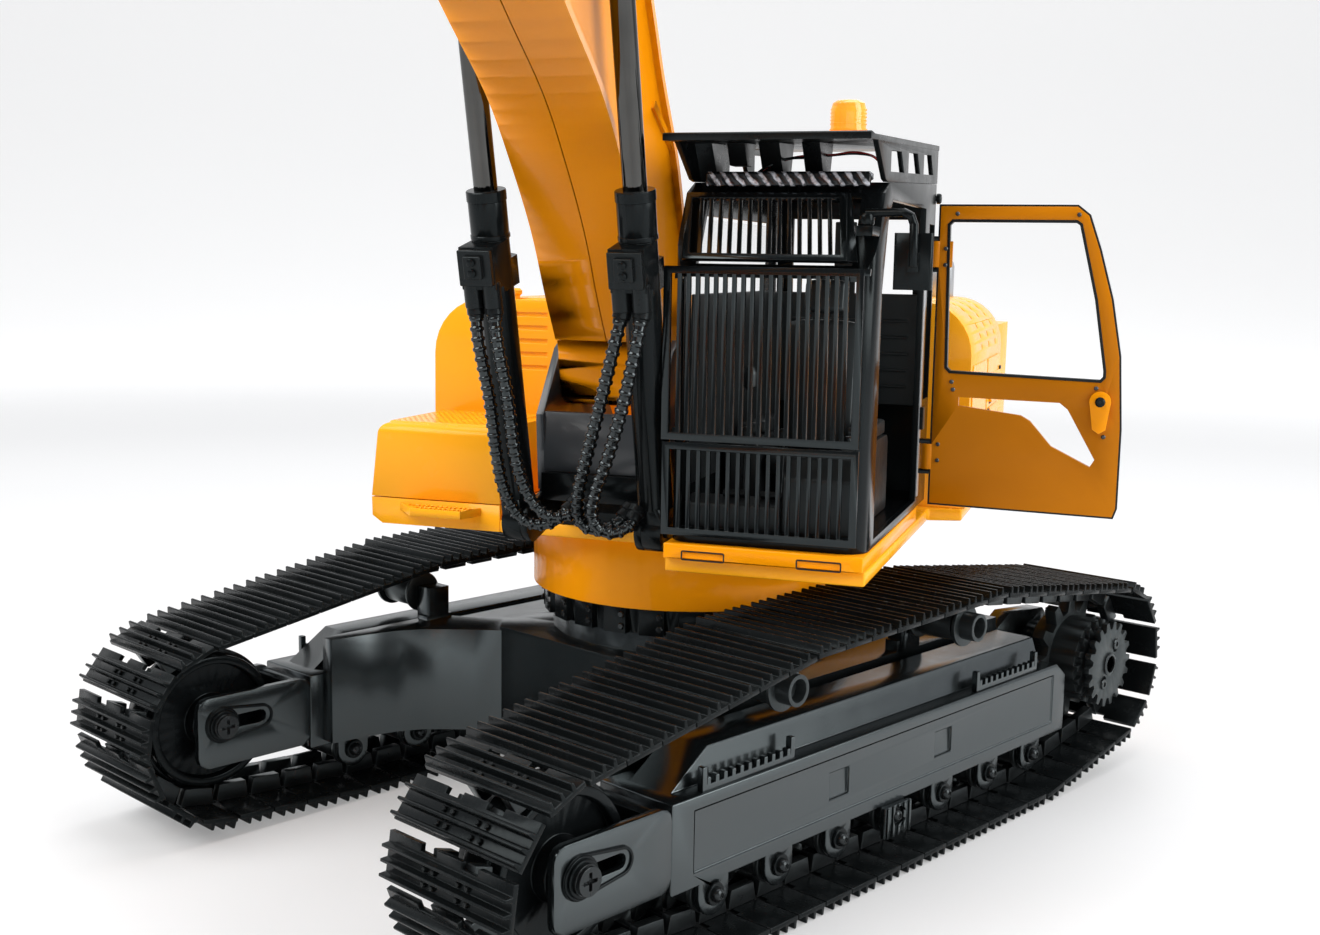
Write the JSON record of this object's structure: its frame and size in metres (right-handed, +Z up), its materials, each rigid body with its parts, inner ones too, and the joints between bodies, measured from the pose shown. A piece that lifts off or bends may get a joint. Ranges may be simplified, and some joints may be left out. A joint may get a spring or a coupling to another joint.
{
  "type": "rc excavator",
  "caption": "tracked model excavator with slewing upper structure, guarded cab, hydraulic-style boom, arm and toothed bucket",
  "frame": {"origin": "on the ground under the slew axis", "axes": "+Z up, the undercarriage faces -Y, its left side (cab side) is +X; the upper structure stands turned 25 degrees about +Z"},
  "size_m": [0.4201, 0.7013, 0.5128],
  "materials": {
    "paint": "gloss orange-yellow paint over metal",
    "black": "satin black paint over metal",
    "tracks": "black coated steel, worn on the edges",
    "grey": "satin dark grey paint",
    "rod": "polished piston rod",
    "steel": "plain screw steel",
    "hose": "ribbed black hose",
    "amber": "amber lens",
    "lens": "clear ribbed lamp strip",
    "plastic": "black moulding"
  },
  "bodies": {
    "undercarriage": {"center_frame": "black", "side_frames": "black", "idler_yokes": "black", "step_combs": "black", "track_guides": "tracks", "final_drives": "black", "track_rollers": "tracks", "undercarriage_screws": "steel", "slew_ring": "black", "track_shoes_l": "tracks", "track_shoes_r": "tracks", "track_links_l": "tracks", "track_links_r": "tracks"},
    "house": {"deck": "paint", "swing_skirt": "paint", "storage_box": "paint", "box_step": "paint", "hood": "paint", "side_cover": "paint", "counterweight": "paint", "exhaust": "steel", "boom_bracket": "grey", "bracket_nose": "black", "cab_shell": "black", "cab_sill": "paint", "guard_lower": "black", "guard_middle": "black", "guard_upper": "black", "visor": "black", "light_bar": "lens", "beacon": "amber", "seat": "plastic"},
    "sprocket_l": {"sprocket_l": "black"},
    "idler_l": {"idler_l": "black"},
    "carrier_roller_fl": {"carrier_roller_fl": "black"},
    "carrier_roller_rl": {"carrier_roller_rl": "black"},
    "sprocket_r": {"sprocket_r": "black"},
    "idler_r": {"idler_r": "black"},
    "carrier_roller_fr": {"carrier_roller_fr": "black"},
    "carrier_roller_rr": {"carrier_roller_rr": "black"},
    "boom": {"boom": "paint"},
    "boom_tube_l": {"boom_tube_l": "black", "hoses_l": "hose"},
    "boom_rod_l": {"boom_rod_l": "rod"},
    "boom_tube_r": {"boom_tube_r": "black", "hoses_r": "hose"},
    "boom_rod_r": {"boom_rod_r": "rod"},
    "arm": {"arm": "paint"},
    "arm_tube": {"arm_tube": "black"},
    "arm_rod": {"arm_rod": "rod"},
    "bucket": {"bucket": "paint"},
    "rocker": {"rocker": "black"},
    "link": {"link": "black"},
    "bucket_tube": {"bucket_tube": "black"},
    "bucket_rod": {"bucket_rod": "rod"},
    "door": {"door": "paint"},
    "door_handle": {"door_handle": "paint"},
    "mirror_arm": {"mirror_arm": "black"},
    "lever_l": {"lever_l": "plastic"},
    "lever_r": {"lever_r": "plastic"}
  },
  "joints": [
    {"name": "house_swing", "type": "hinge", "parent": "undercarriage", "child": "house", "pos_m": [0, 0, 0.0787], "axis": [0, 0, 1], "continuous": true},
    {"name": "sprocket_l_spin", "type": "hinge", "parent": "undercarriage", "child": "sprocket_l", "pos_m": [0.0896, 0.1308, 0.0421], "axis": [1, 0, 0], "continuous": true},
    {"name": "idler_l_spin", "type": "hinge", "parent": "undercarriage", "child": "idler_l", "pos_m": [0.0896, -0.153, 0.0368], "axis": [1, 0, 0], "continuous": true},
    {"name": "carrier_roller_fl_spin", "type": "hinge", "parent": "undercarriage", "child": "carrier_roller_fl", "pos_m": [0.0896, -0.0631, 0.0693], "axis": [1, 0, 0], "continuous": true},
    {"name": "carrier_roller_rl_spin", "type": "hinge", "parent": "undercarriage", "child": "carrier_roller_rl", "pos_m": [0.0896, 0.039, 0.0715], "axis": [1, 0, 0], "continuous": true},
    {"name": "sprocket_r_spin", "type": "hinge", "parent": "undercarriage", "child": "sprocket_r", "pos_m": [-0.0896, 0.1308, 0.0421], "axis": [1, 0, 0], "continuous": true},
    {"name": "idler_r_spin", "type": "hinge", "parent": "undercarriage", "child": "idler_r", "pos_m": [-0.0896, -0.153, 0.0368], "axis": [1, 0, 0], "continuous": true},
    {"name": "carrier_roller_fr_spin", "type": "hinge", "parent": "undercarriage", "child": "carrier_roller_fr", "pos_m": [-0.0896, -0.0631, 0.0693], "axis": [1, 0, 0], "continuous": true},
    {"name": "carrier_roller_rr_spin", "type": "hinge", "parent": "undercarriage", "child": "carrier_roller_rr", "pos_m": [-0.0896, 0.039, 0.0715], "axis": [1, 0, 0], "continuous": true},
    {"name": "boom_raise", "type": "hinge", "parent": "house", "child": "boom", "pos_m": [0.01657, -0.04965, 0.155], "axis": [-0.906, -0.4232, 0], "range_deg": [-30, 12]},
    {"name": "boom_tube_l_tilt", "type": "hinge", "parent": "house", "child": "boom_tube_l", "pos_m": [0.05346, -0.07216, 0.113], "axis": [-0.906, -0.4232, 0], "range_deg": [-26.23, 10.49]},
    {"name": "boom_rod_l_slide", "type": "slide", "parent": "boom_tube_l", "child": "boom_rod_l", "axis": [0.101, -0.2162, 0.9711], "range_m": [-0.02618, 0.01047]},
    {"name": "boom_tube_r_tilt", "type": "hinge", "parent": "house", "child": "boom_tube_r", "pos_m": [0.01015, -0.09239, 0.113], "axis": [-0.906, -0.4232, 0], "range_deg": [-26.23, 10.49]},
    {"name": "boom_rod_r_slide", "type": "slide", "parent": "boom_tube_r", "child": "boom_rod_r", "axis": [0.101, -0.2162, 0.9711], "range_m": [-0.02618, 0.01047]},
    {"name": "arm_swing", "type": "hinge", "parent": "boom", "child": "arm", "pos_m": [0.15093, -0.33732, 0.4575], "axis": [-0.906, -0.4232, 0], "range_deg": [-28, 30]},
    {"name": "arm_tube_tilt", "type": "hinge", "parent": "boom", "child": "arm_tube", "pos_m": [0.05465, -0.1312, 0.35], "axis": [-0.906, -0.4232, 0], "range_deg": [-0.229, 0.214]},
    {"name": "arm_rod_slide", "type": "slide", "parent": "arm_tube", "child": "arm_rod", "axis": [0.3284, -0.7032, 0.6305], "range_m": [-0.03119, 0.02911]},
    {"name": "bucket_curl", "type": "hinge", "parent": "arm", "child": "bucket", "pos_m": [0.18349, -0.40705, 0.24607], "axis": [-0.906, -0.4232, 0], "range_deg": [-30, 30]},
    {"name": "rocker_swing", "type": "hinge", "parent": "arm", "child": "rocker", "pos_m": [0.17596, -0.39093, 0.29493], "axis": [-0.906, -0.4232, 0], "range_deg": [-30.6, 30.6]},
    {"name": "link_swing", "type": "hinge", "parent": "rocker", "child": "link", "pos_m": [0.19108, -0.42329, 0.30793], "axis": [-0.906, -0.4232, 0], "range_deg": [-30.6, 30.6]},
    {"name": "bucket_tube_tilt", "type": "hinge", "parent": "arm", "child": "bucket_tube", "pos_m": [0.16991, -0.37797, 0.42488], "axis": [-0.906, -0.4232, 0], "range_deg": [-0.269, 0.269]},
    {"name": "bucket_rod_slide", "type": "slide", "parent": "bucket_tube", "child": "bucket_rod", "axis": [0.1664, -0.3563, -0.9194], "range_m": [-0.01971, 0.01971]},
    {"name": "door_swing", "type": "hinge", "parent": "house", "child": "door", "pos_m": [0.08212, 0.03615, 0.165], "axis": [0, 0, 1], "range_deg": [-88, 10]},
    {"name": "handle_turn", "type": "hinge", "parent": "door", "child": "door_handle", "pos_m": [0.13476, 0.06073, 0.1525], "axis": [-0.4232, 0.906, 0], "range_deg": [-35, 35]},
    {"name": "mirror_fold", "type": "hinge", "parent": "house", "child": "mirror_arm", "pos_m": [0.11915, -0.05638, 0.207], "axis": [0, 0, 1], "range_deg": [-25, 25]},
    {"name": "lever_l_tilt", "type": "hinge", "parent": "house", "child": "lever_l", "pos_m": [0.08951, -0.01559, 0.1425], "axis": [0.906, 0.4232, 0], "range_deg": [-12, 12]},
    {"name": "lever_r_tilt", "type": "hinge", "parent": "house", "child": "lever_r", "pos_m": [0.05598, -0.03125, 0.1425], "axis": [0.906, 0.4232, 0], "range_deg": [-12, 12]}
  ],
  "couplings": [
    {"joint": "idler_l_spin", "follows": "sprocket_l_spin", "ratio": 0.97337},
    {"joint": "carrier_roller_fl_spin", "follows": "sprocket_l_spin", "ratio": 4.1447},
    {"joint": "carrier_roller_rl_spin", "follows": "sprocket_l_spin", "ratio": 4.1447},
    {"joint": "idler_r_spin", "follows": "sprocket_r_spin", "ratio": 0.97337},
    {"joint": "carrier_roller_fr_spin", "follows": "sprocket_r_spin", "ratio": 4.1447},
    {"joint": "carrier_roller_rr_spin", "follows": "sprocket_r_spin", "ratio": 4.1447},
    {"joint": "boom_tube_l_tilt", "follows": "boom_raise", "ratio": 0.85701},
    {"joint": "boom_rod_l_slide", "follows": "boom_raise", "m_per_rad": 0.049014},
    {"joint": "boom_tube_r_tilt", "follows": "boom_raise", "ratio": 0.85701},
    {"joint": "boom_rod_r_slide", "follows": "boom_raise", "m_per_rad": 0.049014},
    {"joint": "arm_tube_tilt", "follows": "arm_swing", "ratio": -0.007479},
    {"joint": "arm_rod_slide", "follows": "arm_swing", "m_per_rad": -0.058405},
    {"joint": "rocker_swing", "follows": "bucket_curl", "ratio": 1},
    {"joint": "link_swing", "follows": "bucket_curl", "ratio": -1},
    {"joint": "bucket_tube_tilt", "follows": "bucket_curl", "ratio": 0.00878},
    {"joint": "bucket_rod_slide", "follows": "bucket_curl", "m_per_rad": -0.036899}
  ]
}
